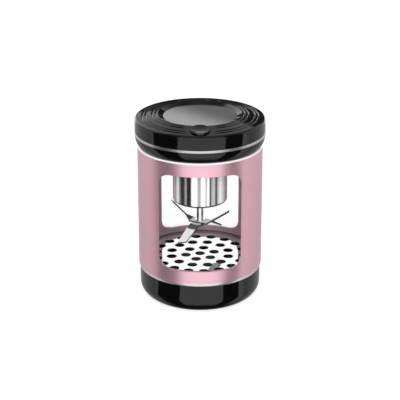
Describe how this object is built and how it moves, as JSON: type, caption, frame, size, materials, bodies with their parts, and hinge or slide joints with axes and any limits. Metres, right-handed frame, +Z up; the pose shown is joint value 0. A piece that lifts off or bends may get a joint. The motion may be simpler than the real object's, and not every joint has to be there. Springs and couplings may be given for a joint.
{
  "type": "battery herb grinder",
  "caption": "Small battery herb and spice grinder: black motor head with push button, pink windowed tube with clear liner, hanging cross blades over a round-hole sieve, pull-off base cup.",
  "frame": {"origin": "on the resting plane, under the centre of the round body", "axes": "+Z up along the axis of the tube and the motor; the push button faces -Y and the charging socket +Y"},
  "size_m": [0.0656, 0.0656, 0.0974],
  "materials": {
    "black_gloss": "high gloss, injection moulded",
    "button_black": "gloss",
    "black_matte": "fine matt",
    "white_plastic": "natural nylon",
    "pink_anodised": "satin anodised, rose pink",
    "clear_glass": "clear, polished",
    "polished_steel": "mirror polished stainless steel",
    "blade_steel": "ground and polished stainless steel",
    "chrome": "bright plated",
    "grey_mirror": "smoked mirror film",
    "silicone": "translucent silicone",
    "black_rubber": "matt, fine grain",
    "zinc_steel": "bright zinc plate",
    "motor_steel": "nickel plated drawn steel",
    "ferrite": "sintered, dark",
    "copper": "enamelled copper",
    "brass": "bright brass",
    "board_green": "solder mask over glass laminate",
    "cell_wrap": "laminated foil pouch",
    "foam_tape": "foam adhesive tape",
    "lead_jacket": "silicone lead jacket"
  },
  "bodies": {
    "base": {"base_cup": "black_gloss", "foot_ring": "black_rubber"},
    "tube": {"body_tube": "pink_anodised", "glass_liner": "clear_glass", "lower_collar": "black_gloss", "sieve_plate": "polished_steel", "sieve_gasket": "silicone", "base_seal": "silicone"},
    "head": {"head_chassis": "black_gloss", "trim_ring": "chrome", "top_cap": "black_gloss", "badge_disc": "grey_mirror", "head_seal": "silicone", "cap_screws": "zinc_steel", "motor_housing": "chrome", "housing_screws": "zinc_steel", "motor_case": "motor_steel", "motor_magnets": "ferrite", "motor_end_bell": "white_plastic", "motor_terminals": "brass", "motor_brushes": "brass", "motor_bushings": "brass", "motor_dampers": "black_rubber", "motor_screws": "zinc_steel", "shaft_seal": "black_rubber", "circuit_board": "board_green", "board_screws": "zinc_steel", "battery_cell": "cell_wrap", "battery_tape": "foam_tape", "usb_socket": "zinc_steel", "switch_body": "black_matte", "board_chips": "black_matte", "motor_leads": "lead_jacket", "battery_leads": "lead_jacket"},
    "button": {"power_button": "button_black", "switch_plunger": "white_plastic"},
    "rotor": {"motor_shaft": "polished_steel", "armature_core": "ferrite", "armature_coils": "copper", "commutator": "copper", "blade_hub": "polished_steel", "upper_blade": "blade_steel", "lower_blade": "blade_steel", "blade_screw": "zinc_steel"}
  },
  "joints": [
    {"name": "tube_lift", "type": "slide", "parent": "base", "child": "tube", "axis": [0, 0, 1], "range_m": [0, 0.02]},
    {"name": "head_lift", "type": "slide", "parent": "tube", "child": "head", "axis": [0, 0, 1], "range_m": [0, 0.06]},
    {"name": "blade_spin", "type": "hinge", "parent": "head", "child": "rotor", "pos_m": [0, 0, 0.04], "axis": [0, 0, 1], "continuous": true},
    {"name": "button_press", "type": "slide", "parent": "head", "child": "button", "axis": [0, 0, -1], "range_m": [0, 0.0008], "stiffness_N_per_m": 1500, "springref_m": -0.001}
  ]
}
